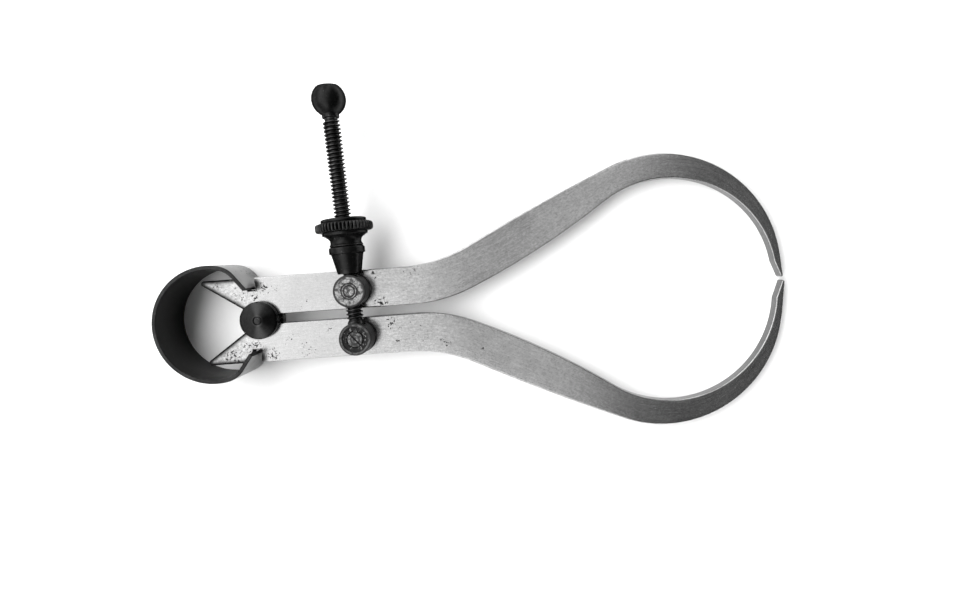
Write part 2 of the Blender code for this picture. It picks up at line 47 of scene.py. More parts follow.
# Camera: above the legs, leaning slightly
CAMERA_PLACE = (66.07 * MM, 13.42 * MM, 174.12 * MM)
CAMERA_TURN = (-3.679, 0.552, -4.206)      # degrees about X, Y and Z
CAMERA_LENS = 22.04
SENSOR_WIDTH = 36.0

# Legs, as in the frame
LEG_OUTER_Y = 12.3 * MM
LEG_INNER_Y = 1.35 * MM
LEG_TOP_Z = 5.6 * MM
LEG_EDGE = 0.35 * MM              # rounding of the legs' edges
BOW_OUTER_EDGE = 0.62 * MM        # the bows' outer edges are rubbed rounder
OUTER_BOW = (116.0 * MM, 4.9 * MM, 34.1 * MM)     # centre x, centre y, radius
INNER_BOW = (118.0 * MM, 1.6 * MM, 30.3 * MM)
OUTER_BEND = (42.0 * MM, 27.0)    # where the straight ends, and the bend in degrees
OUTER_BEND_RADIUS = 40.8 * MM
OUTER_BOW_HEADING = 22.7
INNER_BEND = (44.5 * MM, 23.25)
INNER_BEND_RADIUS = 43.0 * MM
INNER_BOW_HEADING = 34.5
TIP_RADIUS = 0.45 * MM
TIP_UPPER = (150.45 * MM, 1.6 * MM, 4.6 * MM, 8.0)     # reach, end, nib, last stretch
TIP_LOWER = (150.85 * MM, -0.6 * MM, 5.0 * MM, 10.0)
TAIL_ANGLE = 146.0
TAIL_RADIUS = 0.8 * MM
TAIL_TIP_X = -16.4 * MM
TAIL_TIP_Y = 11.5 * MM
NOTCH_RIGHT_X = -0.7 * MM
NOTCH_BOTTOM_Y = 8.6 * MM
NOTCH_WIDTH = 2.3 * MM
NOTCH_RIGHT_LEAN = 97.0
NOTCH_LEFT_LEAN = 121.0
SEAT_RADIUS = 4.9 * MM
STEM_HOLE_RADIUS = 2.7 * MM
ROWS_DIAGONAL = 30
ROWS_BOW = 80
ROWS_NIB = 10
COLUMNS = 6
GRAIN_EASE = 12                   # rows over which the grain follows the bend
EDGE_STEPS = 4                    # steps round each rounded edge
EDGE_STEP_ARC = 0.39              # length of one such step for a rounding of 1

# Bow spring
SPRING_CENTRE_X = -11.8 * MM
SPRING_MID_RADIUS = 16.05 * MM
SPRING_THICKNESS = 1.15 * MM
SPRING_END_BEND_RADIUS = 7.0 * MM
SPRING_END = (-1.56 * MM, 9.25 * MM)
SPRING_END_HEADING = -53.0
SPRING_EDGE = 0.22 * MM

# Screw
SCREW_CREST_RADIUS = 2.38 * MM
SCREW_ROOT_RADIUS = 1.75 * MM
SCREW_PITCH = 25.4 / 24 * MM
SCREW_TURNS = 52
THREAD_START = 4.7 * MM
SHANK_START = -4.1 * MM
SHANK_RADIUS = 2.25 * MM
BALL_CENTRE = 66.3 * MM
BALL_RADIUS = 4.7 * MM
BALL_FLAT = 3.5 * MM
BALL_RIVET_RADIUS = 1.2 * MM
BORE_RADIUS = 2.7 * MM
SLEEVE_START = 4.85 * MM
SLEEVE_END = 12.35 * MM
SLEEVE_COLLAR = 1.85 * MM
NUT_START = 12.42 * MM
KNURL_RADIUS = 7.95 * MM
KNURL_TEETH = 48

TURNED_STEPS = 96
SMOOTH_ANGLE = 44.0               # edges sharper than this stay sharp

# Table, sky and key light.  The sky's level depends on the slope x/z of its direction, so that
# level metal mirrors a different part of it at each place along the tool.
FLOOR_REACH = 1.5
FLOOR_BEND = 12 * MM
FLOOR_BEND_STEPS = 12
SKY_LEAN = -0.26
SKY_SLOPE_GAIN = 0.25
SKY_LEVELS = ((0.0, 0.5), (0.25, 1.45), (0.325, 1.6), (0.375, 1.4), (0.425, 1.12),
              (0.471, 0.93), (0.483, 0.32), (0.511, 0.34), (0.535, 0.70), (0.548, 0.70),
              (0.559, 0.46), (0.568, 0.10), (0.9, 0.07))
KEY_PLACE = (-1.0, 0.38, 1.3)
KEY_TARGET = (0.06, 0.0, 0.0)
KEY_WIDTH = 4.2
KEY_HEIGHT = 1.8
KEY_POWER = 106.0


# -------- shader helpers

class Nodes:
    """Short calls for the nodes of one tree."""

    def __init__(self, tree):
        self.tree = tree

    def add(self, kind, **settings):
        item = self.tree.nodes.new("ShaderNode" + kind)
        for key, value in settings.items():
            setattr(item, key, value)
        return item

    def feed(self, socket, value):
        """Link a socket to another, or set its constant."""
        if isinstance(value, bpy.types.NodeSocket):
            self.tree.links.new(value, socket)
        else:
            socket.default_value = value

    def fill(self, item, **values):
        """Link or set a node's sockets by name; Base_Color stands for Base Color."""
        for key, value in values.items():
            self.feed(item.inputs[key.replace("_", " ")], value)
        return item

    def place(self):
        """Position in the piece's own axes, in metres."""
        return self.add("TexCoord").outputs["Object"]

    def uv(self):
        return self.add("UVMap").outputs["UV"]

    def scaled(self, vector, x, y, z):
        item = self.add("VectorMath", operation="MULTIPLY")
        self.feed(item.inputs[0], vector)
        item.inputs[1].default_value = (x, y, z)
        return item.outputs[0]

    def split(self, vector):
        return self.fill(self.add("SeparateXYZ"), Vector=vector).outputs

    def math(self, operation, first, second=0.0, third=0.0):
        item = self.add("Math", operation=operation)
        for socket, value in zip(item.inputs, (first, second, third)):
            self.feed(socket, value)
        return item.outputs[0]

    def times(self, first, second):
        return self.math("MULTIPLY", first, second)

    def plus(self, value, gain, base):
        """base plus gain times value."""
        return self.math("MULTIPLY_ADD", value, gain, base)

    def varied(self, base, *parts):
        """base plus, for each (noise, gain), the gain times the noise's offset from 0.5."""
        for noise, gain in parts:
            base = self.plus(self.math("SUBTRACT", noise, 0.5), gain, base)
        return base

    def apart(self, first, second):
        return self.math("ABSOLUTE", self.math("SUBTRACT", first, second))

    def from_axis(self, axes):
        """Distance from the piece's own Z axis."""
        return self.math("SQRT", self.math("ADD", self.times(axes[0], axes[0]),
                                           self.times(axes[1], axes[1])))

    def noise(self, vector, scale, detail=2.0, roughness=0.5, distortion=0.0):
        item = self.fill(self.add("TexNoise"), Vector=vector, Scale=scale, Detail=detail,
                         Roughness=roughness, Distortion=distortion)
        return item.outputs["Fac"]

    def span(self, value, low, high, to_low=0.0, to_high=1.0, smooth=True):
        """Value mapped from low..high to to_low..to_high, and held at the ends."""
        item = self.add("MapRange", interpolation_type="SMOOTHSTEP" if smooth else "LINEAR")
        self.fill(item, Value=value, From_Min=low, From_Max=high, To_Min=to_low, To_Max=to_high)
        return item.outputs["Result"]

    def near(self, place, point, radius, plateau=0.0):
        """1 at a point and over a plateau round it, falling to 0 at a distance from it."""
        item = self.add("VectorMath", operation="DISTANCE")
        self.feed(item.inputs[0], place)
        item.inputs[1].default_value = point
        return self.span(item.outputs["Value"], radius, plateau)

    def mix(self, factor, first, second):
        """Number between two others."""
        item = self.add("Mix", data_type="FLOAT")
        self.feed(item.inputs[0], factor)
        self.feed(item.inputs[2], first)
        self.feed(item.inputs[3], second)
        return item.outputs[0]

    def grey(self, value):
        return self.fill(self.add("CombineColor"), Red=value, Green=value, Blue=value).outputs[0]

    def specks(self, place, size, density):
        """Irregular specks: 1 in a speck.  density is the share of cells that have one."""
        wobble = self.fill(self.add("TexNoise"), Vector=place, Scale=1.6 / size, Detail=2.0)
        shift = self.scaled(wobble.outputs["Color"], size * 0.9, size * 0.9, size * 0.9)
        moved = self.add("VectorMath", operation="ADD")
        self.feed(moved.inputs[0], place)
        self.feed(moved.inputs[1], shift)
        cells = self.fill(self.add("TexVoronoi"), Vector=moved.outputs[0], Scale=0.5 / size)
        chance = self.split(cells.outputs["Color"])
        chosen = self.math("LESS_THAN", chance[0], density)
        depth = self.math("SUBTRACT", self.plus(chance[1], 0.28, 0.12), cells.outputs["Distance"])
        return self.times(chosen, self.span(depth, 0.0, 0.06))


class Shader(Nodes):
    """One material, whose nodes end at its Principled shader."""

    def __init__(self, name):
        self.material = bpy.data.materials.new(name)
        self.material.use_nodes = True
        super().__init__(self.material.node_tree)

    def finish(self, **values):
        """Link or set the Principled shader's sockets, and give the material."""
        self.fill(self.tree.nodes["Principled BSDF"], **values)
        return self.material

    def bump(self, height, distance):
        item = self.fill(self.add("Bump"), Strength=1.0, Distance=distance, Height=height)
        return item.outputs["Normal"]

    def along_grain(self):
        return self.add("Tangent", direction_type="UV_MAP").outputs[0]

    def round_axis(self):
        return self.add("Tangent", direction_type="RADIAL", axis="Z").outputs[0]


# -------- materials

PIT_CLUSTERS = {      # place on the leg and reach in mm, and how badly it is pitted
    "upper": [((1.5, 9.3), 2.4, 1.0), ((4.6, 9.0), 2.4, 0.5), ((-1.1, 7.0), 1.9, 0.9),
              ((-12.1, 10.7), 1.7, 0.8), ((-6.0, 7.4), 3.0, 0.55), ((13.8, 4.5), 0.9, 0.8),
              ((35.2, 2.5), 2.8, 1.0), ((34.0, 10.6), 2.2, 0.8), ((46.0, 9.6), 4.4, 0.5)],
    "lower": [((2.6, -10.6), 2.6, 1.0), ((-1.6, -7.2), 2.6, 0.75), ((-5.2, -8.4), 3.6, 0.8),
              ((-9.5, -10.6), 3.8, 0.9), ((8.0, -6.0), 2.4, 0.6), ((12.6, -9.4), 4.6, 0.45),
              ((19.6, -3.3), 2.6, 0.55), ((37.4, -3.7), 2.8, 0.85), ((39.0, -8.7), 0.8, 0.9),
              ((52.5, -10.5), 2.2, 0.7), ((63.3, -13.4), 1.1, 0.9), ((46.0, -6.0), 6.0, 0.3)],
}
# Painted shadows on the legs beside the spring's ends, at the notches
NOTCH_SHADOWS = {"upper": (-1.0, 10.3), "lower": (-0.9, -11.2)}      # mm
DARK = 0.02                            # tone of the painted shadows by the notches and of the tails' edges


def tail_darkening(s, place, x, y, side):
    """How dark the tail is: along its slanted and outer edges, at its point, and by the notch,
    where a shadow is painted beside the spring's end.
    """
    outward_y = s.math("ABSOLUTE", y)
    slant = math.radians(180 - TAIL_ANGLE)
    to_slant = s.plus(outward_y, math.cos(slant), s.times(x, math.sin(slant)))
    to_edge = s.math("MINIMUM", to_slant, s.math("SUBTRACT", LEG_OUTER_Y, outward_y))
    rim = s.math("POWER", s.span(to_edge, 1.9 * MM, 0.3 * MM), 1.7)
    rim = s.times(rim, s.span(x, -0.5 * MM, -3.5 * MM))
    shadow_x, shadow_y = NOTCH_SHADOWS[side]
    tip_place = (TAIL_TIP_X, math.copysign(TAIL_TIP_Y, shadow_y), LEG_TOP_Z)
    tip = s.times(s.near(place, tip_place, 1.7 * MM, 0.7 * MM), 0.93)
    # Painted shadow on the leg beside the spring's end in the notch.
    notch_shadow = s.near(place, (shadow_x * MM, shadow_y * MM, LEG_TOP_Z), 2.5 * MM, 0.5 * MM)
    return rim, tip, s.times(notch_shadow, 0.97)


def leg_pits(s, place, side):
    """1 in a pit.  Pits gather in the leg's clusters."""
    pitted = 0.0
    for (pit_x, pit_y), reach, share in PIT_CLUSTERS[side]:
        cluster = s.near(place, (pit_x * MM, pit_y * MM, LEG_TOP_Z), reach * MM * 1.3,
                         reach * MM * 0.2)
        pitted = s.math("MAXIMUM", pitted, s.times(cluster, share))
    spots = s.noise(place, 1700.0, 2.0, 0.6, 0.3)
    return s.span(s.plus(pitted, 0.22, spots), 0.725, 0.79)


def ground_steel(name, side):
    """Steel ground lengthwise: streaks, soft blotches, scratches, and pits in clusters.
    The tails are etched and mottled, darker towards their edges, and carry a painted shadow by
    the notch; the walls are dark.
    """
    s = Shader(name)
    uv = s.uv()
    place = s.place()
    x, y = s.split(place)[:2]
    coarse = s.noise(s.scaled(uv, 90.0, 1300.0, 1.0), 1.0, 3.0, 0.65)
    fine = s.noise(s.scaled(uv, 560.0, 3000.0, 1.0), 1.0, 2.0, 0.7)
    blotch = s.noise(place, 130.0, 4.0, 0.6)
    grain = s.noise(place, 1900.0, 2.0, 0.6)
    surface = s.varied(0.0, (coarse, 0.28), (fine, 0.50), (blotch, 0.36), (grain, 0.45))
    tone = s.plus(surface, s.span(x, 22.0 * MM, 40.0 * MM, 0.35, 1.0), 0.64)

    tail = s.span(x, 0.5 * MM, -2.5 * MM)
    mottle = s.noise(place, 1350.0, 3.0, 0.7)
    etched = s.varied(s.span(x, -4.5 * MM, -15.0 * MM, 0.68, 0.44), (mottle, 1.25))
    tone = s.mix(s.times(tail, 0.85), tone, etched)
    for darkening in tail_darkening(s, place, x, y, side):
        tone = s.mix(darkening, tone, DARK)

    lines = s.noise(s.scaled(uv, 130.0, 2600.0, 1.0), 1.0, 0.0, 0.5, 0.6)
    scratch = s.span(s.apart(lines, 0.5), 0.008, 0.0)
    scratch = s.times(scratch, s.span(s.noise(place, 70.0, 1.0), 0.50, 0.58))
    tone = s.mix(s.times(scratch, 0.5), tone, 0.9)

    upward = s.math("ABSOLUTE", s.split(s.add("TexCoord").outputs["Normal"])[2])
    tone = s.mix(s.span(upward, 0.72, 0.3), tone, s.times(tone, 0.2))
    pits = leg_pits(s, place, side)
    tone = s.mix(s.times(pits, 0.93), tone, 0.03)
    tone = s.span(tone, 0.02, 0.95, 0.02, 0.95, smooth=False)
    rough = s.plus(s.math("MAXIMUM", pits, s.times(tail, 0.3)), 0.35, s.plus(coarse, 0.12, 0.15))
    height = s.plus(pits, -6.0, s.math("ADD", fine, coarse))
    return s.finish(Base_Color=s.grey(tone), Metallic=1.0, Roughness=rough, Anisotropic=0.2,
                    Anisotropic_Rotation=0.25, Tangent=s.along_grain(),
                    Normal=s.bump(height, 0.0035 * MM))


def blued_steel(name, half_width, middle_z, outer_from):
    """Blued spring strip with a faint lengthwise grain, lighter edges, and its outer face
    rubbed to metal near the ends.  outer_from is where the outer face starts round the section.
    """
    s = Shader(name)
    uv = s.uv()
    place = s.place()
    x, _, z = s.split(place)
    streak = s.noise(s.scaled(uv, 60.0, 1800.0, 1.0), 1.0, 3.0, 0.6)
    cloud = s.noise(place, 160.0, 4.0, 0.6)
    grain = s.noise(place, 1500.0, 2.0, 0.7)
    edge = s.span(s.math("SUBTRACT", half_width, s.apart(z, middle_z)), 0.35 * MM, 0.05 * MM)
    rubbed = s.times(edge, s.span(cloud, 0.35, 0.65, 0.35, 1.0))
    outer = s.span(s.split(uv)[1], outer_from, outer_from + 0.3 * MM)
    bare = s.times(outer, s.span(x, -14.0 * MM, -6.5 * MM))
    bare = s.times(bare, s.span(cloud, 0.25, 0.6, 0.40, 0.75))
    dots = s.specks(place, 0.35 * MM, s.span(z, -1.0 * MM, 6.0 * MM, 0.5, 0.05))
    bare = s.times(bare, s.plus(dots, -0.9, 1.0))
    tone = s.plus(streak, 0.004, 0.001)
    tone = s.plus(s.span(grain, 0.5, 0.75), 0.006, tone)
    tone = s.plus(s.times(rubbed, grain), 0.035, tone)
    return s.finish(Base_Color=s.grey(s.mix(bare, tone, 0.34)), Metallic=bare, IOR=1.27,
                    Roughness=s.plus(cloud, 0.16, 0.30), Anisotropic=0.45,
                    Anisotropic_Rotation=0.25, Tangent=s.along_grain(),
                    Normal=s.bump(streak, 0.004 * MM))


def black_turned(name, worn=0.35, anisotropic=0.4):
    """Blackened, turned steel: lathe rings, cloudy sheen, and edges worn to metal."""
    s = Shader(name)
    place = s.place()
    axes = s.split(place)
    along = s.fill(s.add("CombineXYZ"), X=s.from_axis(axes), Z=axes[2])
    rings = s.noise(along.outputs[0], 6500.0, 2.0, 0.7)
    cloud = s.noise(place, 420.0, 4.0, 0.6)
    dust = s.specks(place, 0.16 * MM, 0.10)
    edge = s.span(s.add("NewGeometry").outputs["Pointiness"], 0.505, 0.56)
    wear = s.times(s.times(edge, s.span(cloud, 0.38, 0.66, 0.15, 1.0)), worn)
    tone = s.plus(dust, 0.06, s.plus(cloud, 0.035, s.plus(rings, 0.02, 0.004)))
    rough = s.plus(rings, 0.06, s.plus(cloud, 0.24, 0.16))
    return s.finish(Base_Color=s.grey(s.mix(wear, tone, 0.42)), Metallic=0.96, Roughness=rough,
                    IOR=1.4, Specular_Tint=(0.3, 0.3, 0.3, 1.0), Anisotropic=anisotropic,
                    Anisotropic_Rotation=0.25, Tangent=s.round_axis(),
                    Normal=s.bump(s.plus(rings, 0.5, cloud), 0.03 * MM))


def brushed_cap(name):
    """Blackened cap with turning marks, a faint ring, painted shade that darkens one sector
    towards +X, and a painted highlight sector on each side of it, as the turned face's
    reflections.
    """
    s = Shader(name)
    place = s.place()
    axes = s.split(place)
    radius = s.from_axis(axes)
    along = s.fill(s.add("CombineXYZ"), X=radius)
    rings = s.noise(along.outputs[0], 5200.0, 3.0, 0.7)
    cloud = s.noise(place, 700.0, 4.0, 0.65)
    ring = s.span(s.apart(radius, 1.3 * MM), 0.45 * MM, 0.1 * MM)
    tone = s.plus(ring, 0.02, s.varied(0.030, (rings, 0.03), (cloud, 0.035)))
    heading = s.math("ABSOLUTE", s.math("ARCTAN2", axes[1], axes[0]))      # radians
    # Painted shade: the sector towards +X is darkened like the turned face's dark reflection.
    painted_dark_sector = s.span(heading, 1.0, 0.25)
    # Painted highlight, not wear: the sectors towards +Y and -Y are lightened like its bright
    # reflections.
    worn = s.span(s.apart(heading, 1.50), 0.60, 0.05)
    away = s.span(radius, 0.3 * MM, 1.6 * MM)
    tone = s.times(tone, s.plus(s.times(painted_dark_sector, away), -0.72, 1.0))
    tone = s.plus(s.times(worn, away), 0.045, tone)
    return s.finish(Base_Color=s.grey(tone), Metallic=1.0, Anisotropic=0.85,
                    Anisotropic_Rotation=0.25, Tangent=s.round_axis(),
                    Roughness=s.plus(cloud, 0.15, 0.20), Normal=s.bump(rings, 0.003 * MM))


def worn_top(name, top_z, rim_radius, bright, ring_radii):
    """Blackened post whose top face is worn to scratched metal, dark in its grooves, with
    bright chips in its recess.
    """
    s = Shader(name)
    place = s.place()
    axes = s.split(place)
    radius = s.from_axis(axes)
    cloud = s.noise(place, 900.0, 4.0, 0.65, 0.4)
    strokes = 0.0
    for turn in (18.0, 71.0, 128.0):
        rotated = s.fill(s.add("VectorRotate", rotation_type="Z_AXIS"), Vector=place,
                         Angle=math.radians(turn)).outputs[0]
        lines = s.noise(s.scaled(rotated, 400.0, 3800.0, 400.0), 1.0, 1.0, 0.5, 0.4)
        strokes = s.math("MAXIMUM", strokes, s.span(s.apart(lines, 0.5), 0.035, 0.0))
    top = s.span(axes[2], top_z - 0.12 * MM, top_z - 0.03 * MM)
    face = s.times(top, s.span(radius, rim_radius, rim_radius - 0.35 * MM))
    wander = s.varied(radius, (cloud, 0.9 * MM))
    for ring in ring_radii:
        groove = s.span(s.apart(wander, ring), 0.10 * MM, 0.32 * MM, 0.05, 1.0)
        face = s.times(face, groove)
    shine = s.times(s.times(face, s.span(cloud, 0.38, 0.66, 0.05, 1.0)), bright)
    shine = s.times(shine, s.plus(strokes, -0.65, 1.0))
    recess = s.times(s.span(axes[2], top_z - 0.08 * MM, top_z - 0.22 * MM),
                     s.span(radius, 3.65 * MM, 3.45 * MM))
    chips = s.times(recess, s.span(s.noise(place, 1500.0, 3.0, 0.7), 0.58, 0.66))
    shine = s.math("MAXIMUM", shine, s.times(chips, 0.30))
    dull = s.times(top, s.span(recess, 0.0, 1.0, 0.012, 0.0))
    black = s.math("ADD", s.plus(cloud, 0.008, 0.004), dull)
    return s.finish(Base_Color=s.grey(s.mix(shine, black, 0.62)), Metallic=shine, IOR=1.3,
                    Roughness=s.plus(cloud, 0.22, 0.28),
                    Normal=s.bump(s.plus(strokes, -0.6, cloud), 0.03 * MM))


# -------- mesh helpers

def polar(centre, radius, degrees):
    angle = math.radians(degrees)
    return (centre[0] + radius * math.cos(angle), centre[1] + radius * math.sin(angle))


def arc_to(points, end, turn, steps):
    """Add a circular arc from the last point to end that turns left by turn degrees."""
    start = points[-1]
    chord = Vector(end) - Vector(start)
    half = math.radians(turn) / 2
    radius = chord.length / (2 * math.sin(half))
    heading = math.atan2(chord.y, chord.x) - half
    centre = Vector(start) + radius * Vector((-math.sin(heading), math.cos(heading)))
    spoke = Vector(start) - centre
    for step in range(1, steps):
        angle = 2 * half * step / steps
        points.append((
            centre.x + spoke.x * math.cos(angle) - spoke.y * math.sin(angle),
            centre.y + spoke.x * math.sin(angle) + spoke.y * math.cos(angle),
        ))
    points.append(tuple(end))


def spaced(points, count):
    """The same line with count equal spaces."""
    lengths = [0.0]
    for here, there in zip(points, points[1:]):
        lengths.append(lengths[-1] + math.dist(here, there))
    result = [points[0]]
    leg = 0
    for step in range(1, count):
        target = lengths[-1] * step / count
        while lengths[leg + 1] < target:
            leg += 1
        share = (target - lengths[leg]) / (lengths[leg + 1] - lengths[leg])
        result.append(tuple(Vector(points[leg]).lerp(Vector(points[leg + 1]), share)))
    return result + [points[-1]]


def outward(outline, index):
    """Direction square to a counter-clockwise outline at a point, and its mitre length."""
    before = (Vector(outline[index]) - Vector(outline[index - 1])).normalized()
    after = (Vector(outline[(index + 1) % len(outline)]) - Vector(outline[index])).normalized()
    direction = Vector((before.y + after.y, -before.x - after.x)).normalized()
    mitre = 1.0 / max(direction.dot(Vector((before.y, -before.x))), 0.5)
    return direction, mitre


def linked(name, data):
    """New object in the scene."""
    item = bpy.data.objects.new(name, data)
    bpy.context.scene.collection.objects.link(item)
    return item


def meshed(name, bm):
    """New mesh object from a bmesh."""
    mesh = bpy.data.meshes.new(name)
    bm.to_mesh(mesh)
    bm.free()
    return linked(name, mesh)


def keep_flats(item, sharp_angle=SMOOTH_ANGLE):
    """Keep flat faces flat beside their rounded edges."""
    item.data.set_sharp_from_angle(angle=math.radians(sharp_angle))
    item.modifiers.new("flat_faces", "WEIGHTED_NORMAL").keep_sharp = True


def make_object(name, bm, sharp_angle=SMOOTH_ANGLE):
    """Smooth object from a bmesh."""
    item = meshed(name, bm)
    item.data.shade_smooth()
    keep_flats(item, sharp_angle)
    return item


def grain_mapper(bm):
    """Function that adds a face from corners of (vertex, place in the grain map)."""
    layer = bm.loops.layers.uv.new("grain")

    def face(corners):
        made = bm.faces.new([vertex for vertex, _ in corners])
        for loop, (_, place) in zip(made.loops, corners):
            loop[layer].uv = place

    return face


def bridge(bm, lower, upper):
    """Join two closed rings of vertices with quads; a ring of one vertex is a point."""
    count = max(len(lower), len(upper))
    for step in range(count):
        after = (step + 1) % count
        face = []
        for corner in (lower[step % len(lower)], lower[after % len(lower)],
                       upper[after % len(upper)], upper[step % len(upper)]):
            if corner not in face:
                face.append(corner)
        bm.faces.new(face)


def softened(profile, radius, closed, steps=3):
    """Round the corners of a (radius, height) profile."""
    result = []
    last = len(profile) - 1
    for index, point in enumerate(profile):
        corner = Vector(point)
        if not closed and index in (0, last):
            result.append(tuple(corner))
            continue
        before = Vector(profile[index - 1]) - corner
        after = Vector(profile[(index + 1) % len(profile)]) - corner
        if before.angle(-after) < math.radians(14):
            result.append(tuple(corner))
            continue
        reach = min(radius, 0.42 * before.length, 0.42 * after.length)
        start = corner + before.normalized() * reach
        end = corner + after.normalized() * reach
        for step in range(steps + 1):
            share = step / steps
            curve = (start * (1 - share) ** 2 + corner * 2 * share * (1 - share)
                     + end * share ** 2)
            result.append((max(curve.x, 0.0), curve.y))
    return result


def raised(base, points):
    """(radius, height) profile from points in mm whose heights start at base."""
    return [(radius * MM, base + height * MM) for radius, height in points]


def turned(name, profile, edge=0.12 * MM, closed=False, steps=TURNED_STEPS, ripple=None):
    """Piece turned about its own Z from a (radius, height) profile with rounded corners."""
    bm = bmesh.new()
    rings = []
    for radius, height in softened(profile, edge, closed):
        if radius < 1e-7:
            rings.append([bm.verts.new((0.0, 0.0, height))])
            continue
        ring = []
        for step in range(steps):
            angle = 2 * math.pi * step / steps
            reach = radius - (ripple(radius, angle) if ripple else 0.0)
            ring.append(bm.verts.new((reach * math.cos(angle), reach * math.sin(angle), height)))
        rings.append(ring)
    for lower, upper in zip(rings, rings[1:]):
        bridge(bm, lower, upper)
    if closed:
        bridge(bm, rings[-1], rings[0])
    bmesh.ops.recalc_face_normals(bm, faces=bm.faces)
    return make_object(name, bm)


def drill(item, radius, depth, matrix, steps=64):
    """Bore a round hole about the matrix's Z, for good."""
    bm = bmesh.new()
    bmesh.ops.create_cone(bm, cap_ends=True, segments=steps, radius1=radius, radius2=radius,
                          depth=depth)
    subtract(item, bm, matrix)


def subtract(item, bm, matrix):
    """Take a closed bmesh, placed by the matrix, out of the item, for good."""
    tool = meshed("cutter", bm)
    tool.matrix_world = matrix
    item.modifiers.remove(item.modifiers["flat_faces"])
    modifier = item.modifiers.new("cut", "BOOLEAN")
    modifier.operation = "DIFFERENCE"
    modifier.solver = "EXACT"
    modifier.object = tool
    bpy.context.view_layer.update()
    depsgraph = bpy.context.evaluated_depsgraph_get()
    result = bpy.data.meshes.new_from_object(item.evaluated_get(depsgraph))
    item.modifiers.clear()
    item.data = result
    keep_flats(item)
    bpy.data.objects.remove(tool)


def dress(item, material, node):
    """Give a piece its material, and let it stand for its CAD node and ride on its body."""
    item.data.materials.clear()
    item.data.materials.append(material)
    body = next(body for body, nodes in frame["record"]["behaviour"]["bodies"].items()
                if node in nodes)
    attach(item, body)
    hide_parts(node)


# -------- legs

def diagonal(bend, radius, bow, heading, edge_y):
    """Edge from the bend up the slanted stretch to where the round bow starts."""
    bend_x, bend_turn = bend
    turn = math.radians(bend_turn)
    line = [(bend_x, edge_y)]
    arc_to(line, (bend_x + radius * math.sin(turn), edge_y + radius * (1 - math.cos(turn))),
           bend_turn, 24)
    arc_to(line, polar(bow, bow[2], 90 + heading), heading - bend_turn, 24)
    return line


def leg_lines(shape):
    """Inner and outer edge of the curved part, in three stretches from the bend to the tip."""
    reach, tip_end, nib, last_stretch = shape
    inner_diagonal = diagonal(INNER_BEND, INNER_BEND_RADIUS, INNER_BOW, INNER_BOW_HEADING,
                              LEG_INNER_Y)
    nib_y = tip_end + nib
    nib_angle = math.degrees(math.asin((nib_y - INNER_BOW[1]) / INNER_BOW[2]))
    nib_start = polar(INNER_BOW, INNER_BOW[2], nib_angle)
    inner_bow = [inner_diagonal[-1]]
    arc_to(inner_bow, nib_start, nib_angle - 90 - INNER_BOW_HEADING, 120)
    tip_x = reach - TIP_RADIUS
    tip_y = tip_end + TIP_RADIUS
    inner_nib = [nib_start, (tip_x - 0.8 * TIP_RADIUS, tip_y - 0.6 * TIP_RADIUS)]

    outer_diagonal = diagonal(OUTER_BEND, OUTER_BEND_RADIUS, OUTER_BOW, OUTER_BOW_HEADING,
                              LEG_OUTER_Y)
    bow_end = polar(OUTER_BOW, OUTER_BOW[2], last_stretch)
    chord_slant = math.degrees(math.atan2(reach - bow_end[0], bow_end[1] - tip_y))
    outer_bow = [outer_diagonal[-1]]
    arc_to(outer_bow, bow_end, last_stretch - 90 - OUTER_BOW_HEADING, 120)
    outer_nib = [outer_bow[-1]]
    arc_to(outer_nib, (reach, tip_y), 2 * (chord_slant - last_stretch), 24)
    beside_nib = max(index for index, point in enumerate(outer_nib) if point[1] > nib_y - 2 * MM)
    outer_bow += outer_nib[1:beside_nib + 1]
    outer_nib = outer_nib[beside_nib:]
    tip = [(tip_x, tip_y - TIP_RADIUS), (tip_x + 0.7 * TIP_RADIUS, tip_y - 0.7 * TIP_RADIUS)]

    def joined(lines):
        points = lines[0][:1]
        for line, count in zip(lines, (ROWS_DIAGONAL, ROWS_BOW, ROWS_NIB)):
            points += spaced(line, count)[1:]
        return points

    return (joined((inner_diagonal, inner_bow, inner_nib)),
            joined((outer_diagonal, outer_bow, outer_nib)), tip)


def leg_back():
    """Outline from the bend's outer edge round the notch, the tail and the seat."""
    depth = LEG_OUTER_Y - NOTCH_BOTTOM_Y
    right_run = depth / math.tan(math.radians(NOTCH_RIGHT_LEAN))
    left_run = depth / math.tan(math.radians(NOTCH_LEFT_LEAN))
    left_x = NOTCH_RIGHT_X - NOTCH_WIDTH
    points = [(NOTCH_RIGHT_X + right_run, LEG_OUTER_Y), (NOTCH_RIGHT_X, NOTCH_BOTTOM_Y),
              (left_x, NOTCH_BOTTOM_Y), (left_x + left_run, LEG_OUTER_Y)]
    slant = math.radians(180 - TAIL_ANGLE)
    tail_y = LEG_OUTER_Y - TAIL_RADIUS
    tail_x = -(tail_y + TAIL_RADIUS / math.cos(slant)) / math.tan(slant)
    centre = (tail_x + 2 * TAIL_RADIUS / math.sin(slant), tail_y)
    points.append(polar(centre, TAIL_RADIUS, 90))
    arc_to(points, polar(centre, TAIL_RADIUS, 270 - math.degrees(slant)),
           180 - math.degrees(slant), 12)
    seat_start = math.degrees(math.asin(LEG_INNER_Y / SEAT_RADIUS))
    points.append(polar((0, 0), SEAT_RADIUS, TAIL_ANGLE))
    arc_to(points, polar((0, 0), SEAT_RADIUS, seat_start), seat_start - TAIL_ANGLE, 28)
    return points


